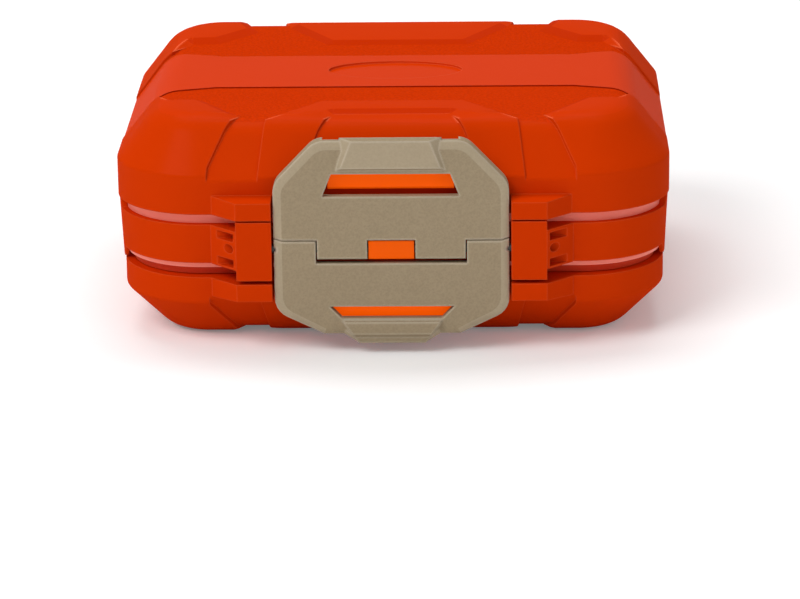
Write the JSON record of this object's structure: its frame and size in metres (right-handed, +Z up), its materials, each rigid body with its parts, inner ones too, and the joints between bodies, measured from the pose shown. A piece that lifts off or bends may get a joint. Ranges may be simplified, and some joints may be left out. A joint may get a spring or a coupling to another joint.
{
  "type": "tackle box",
  "caption": "Small double-sided tackle box: orange lids above and below a middle frame, grey front latches on a common pin, seals, trays with lift-out dividers, foam pads.",
  "frame": {"origin": "on the floor under the middle of the bounding box", "axes": "+X to the right seen from the latches, +Y to the rear hinges, +Z up through the upper lid"},
  "size_m": [0.1286, 0.1242, 0.053],
  "materials": {
    "shell": "satin moulded",
    "latch": "fine matt",
    "seal": "soft, slightly clear",
    "steel": "drawn",
    "tray": "frosted",
    "divider": "frosted",
    "rivet": "satin",
    "foam": "closed-cell foam"
  },
  "bodies": {
    "lower_lid": {"lower_lid": "shell", "lower_foam": "foam"},
    "middle": {"mid_frame": "shell", "upper_seal": "seal", "lower_seal": "seal", "latch_pin": "steel", "upper_hinge_pin_left": "steel", "upper_hinge_pin_right": "steel", "lower_hinge_pin_left": "steel", "lower_hinge_pin_right": "steel", "upper_tray": "tray", "lower_tray": "tray", "upper_divider_1": "divider", "upper_divider_2": "divider", "upper_divider_3": "divider", "upper_divider_4": "divider", "lower_divider_1": "divider", "lower_divider_2": "divider", "lower_divider_3": "divider", "tray_rivet_1": "rivet", "tray_rivet_2": "rivet", "tray_rivet_3": "rivet", "tray_rivet_4": "rivet"},
    "upper_lid": {"upper_lid": "shell", "upper_foam": "foam"},
    "upper_latch": {"upper_latch": "latch"},
    "lower_latch": {"lower_latch": "latch"}
  },
  "joints": [
    {"name": "lower_hinge", "type": "hinge", "parent": "lower_lid", "child": "middle", "pos_m": [0, 0.0592, 0.0171], "axis": [-1, 0, 0], "range_deg": [0, 110]},
    {"name": "upper_hinge", "type": "hinge", "parent": "middle", "child": "upper_lid", "pos_m": [0, 0.0592, 0.0317], "axis": [-1, 0, 0], "range_deg": [0, 110]},
    {"name": "upper_latch_hinge", "type": "hinge", "parent": "middle", "child": "upper_latch", "pos_m": [0, -0.0592, 0.025], "axis": [1, 0, 0], "range_deg": [0, 52]},
    {"name": "lower_latch_hinge", "type": "hinge", "parent": "middle", "child": "lower_latch", "pos_m": [0, -0.0592, 0.025], "axis": [-1, 0, 0], "range_deg": [0, 52]}
  ]
}
